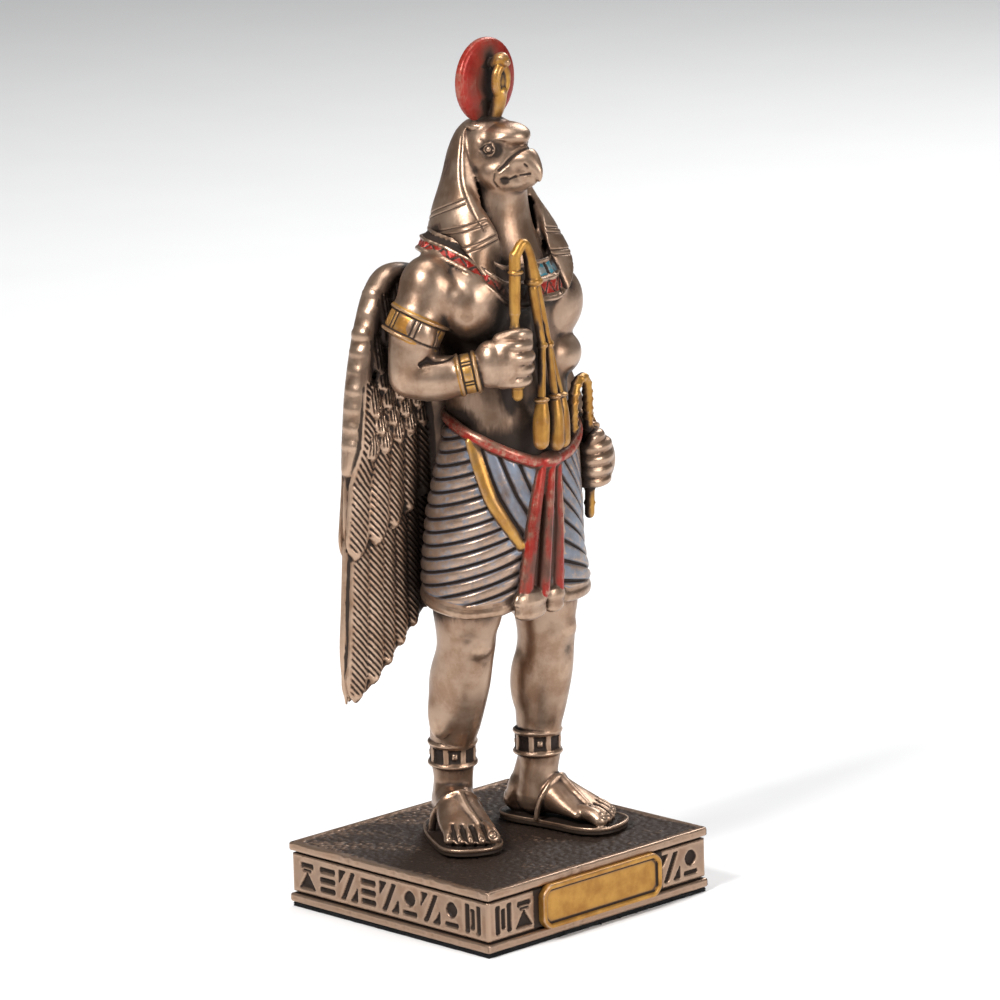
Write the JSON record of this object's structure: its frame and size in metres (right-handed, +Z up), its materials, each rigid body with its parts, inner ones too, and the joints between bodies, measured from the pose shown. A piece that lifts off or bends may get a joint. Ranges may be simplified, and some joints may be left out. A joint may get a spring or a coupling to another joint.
{
  "type": "ra figurine",
  "caption": "Small falcon-headed god figurine with folded wings, sun disc, crook and flail, on a square plinth with a felt pad.",
  "frame": {"origin": "centre of the felt pad's underside, which rests on the surface", "axes": "+Z up, the figure and the nameplate face -Y, the figure's right hand is at -X"},
  "size_m": [0.0339, 0.0303, 0.0899],
  "materials": {
    "bronze_resin": "cold-cast resin with a rubbed bronze finish, dark wash in the hollows and red, blue-grey, gold and teal paint",
    "plinth_resin": "cold-cast resin with a darker rubbed bronze finish and an ochre-gold nameplate",
    "felt": "black felt"
  },
  "bodies": {
    "root": {"figure": "bronze_resin", "plinth": "plinth_resin", "felt_pad": "felt"}
  },
  "joints": []
}
